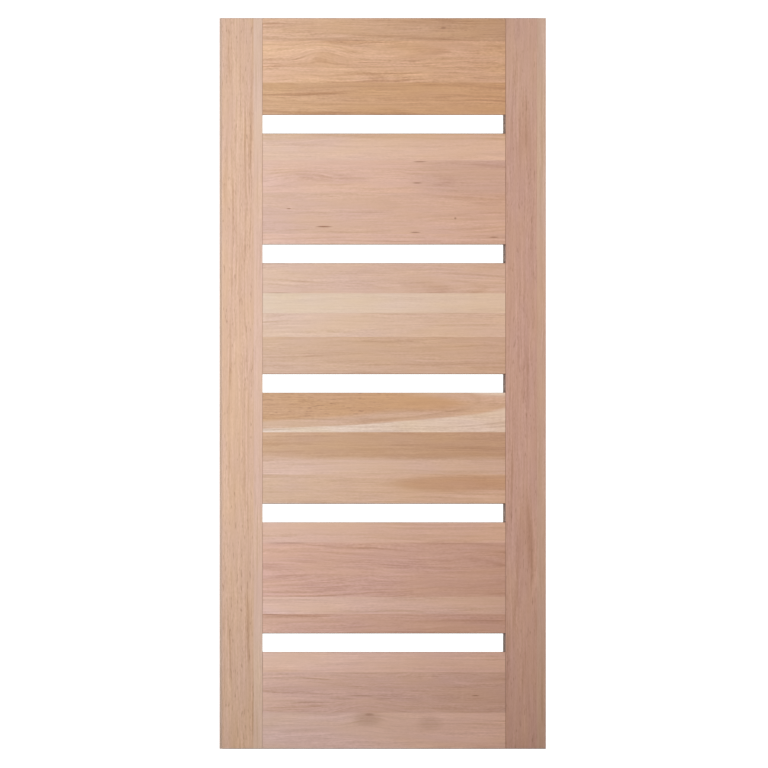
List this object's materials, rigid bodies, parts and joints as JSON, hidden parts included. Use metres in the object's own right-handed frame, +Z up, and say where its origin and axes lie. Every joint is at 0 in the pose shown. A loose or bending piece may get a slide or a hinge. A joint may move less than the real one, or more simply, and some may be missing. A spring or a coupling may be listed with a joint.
{
  "type": "glazed slab door leaf",
  "caption": "Flush door leaf of bare hardwood: stiles and wide rails glued up from staves, and narrow full-width glazed slots between the rails.",
  "frame": {"origin": "on the hinge edge's face, at floor level, half way through the thickness", "axes": "+X from the hinge edge to the lock edge, +Z up, the front face looks along -Y"},
  "size_m": [0.9144, 0.0444, 2.032],
  "materials": {
    "stile_wood": "bare, fine sanded",
    "tan_stave_wood": "bare, fine sanded",
    "pink_stave_wood": "bare, fine sanded",
    "rose_stave_wood": "bare, fine sanded",
    "pale_stave_wood": "bare, fine sanded",
    "clear_glass": "clear, polished"
  },
  "bodies": {
    "root": {"hinge_stile_stave_1": "stile_wood", "hinge_stile_stave_2": "pink_stave_wood", "lock_stile_stave_1": "stile_wood", "lock_stile_stave_2": "tan_stave_wood", "top_rail_stave_1": "tan_stave_wood", "top_rail_stave_2": "tan_stave_wood", "top_rail_stave_3": "tan_stave_wood", "second_rail_stave_1": "pink_stave_wood", "second_rail_stave_2": "pink_stave_wood", "second_rail_stave_3": "pink_stave_wood", "second_rail_stave_4": "pink_stave_wood", "third_rail_stave_1": "pink_stave_wood", "third_rail_stave_2": "pale_stave_wood", "third_rail_stave_3": "pink_stave_wood", "third_rail_stave_4": "tan_stave_wood", "fourth_rail_stave_1": "tan_stave_wood", "fourth_rail_stave_2": "tan_stave_wood", "fourth_rail_stave_3": "pink_stave_wood", "fifth_rail_stave_1": "pink_stave_wood", "fifth_rail_stave_2": "rose_stave_wood", "fifth_rail_stave_3": "pink_stave_wood", "fifth_rail_stave_4": "rose_stave_wood", "bottom_rail_stave_1": "pink_stave_wood", "bottom_rail_stave_2": "rose_stave_wood", "bottom_rail_stave_3": "rose_stave_wood", "slot_glass_1": "clear_glass", "slot_glass_2": "clear_glass", "slot_glass_3": "clear_glass", "slot_glass_4": "clear_glass", "slot_glass_5": "clear_glass"}
  },
  "joints": []
}
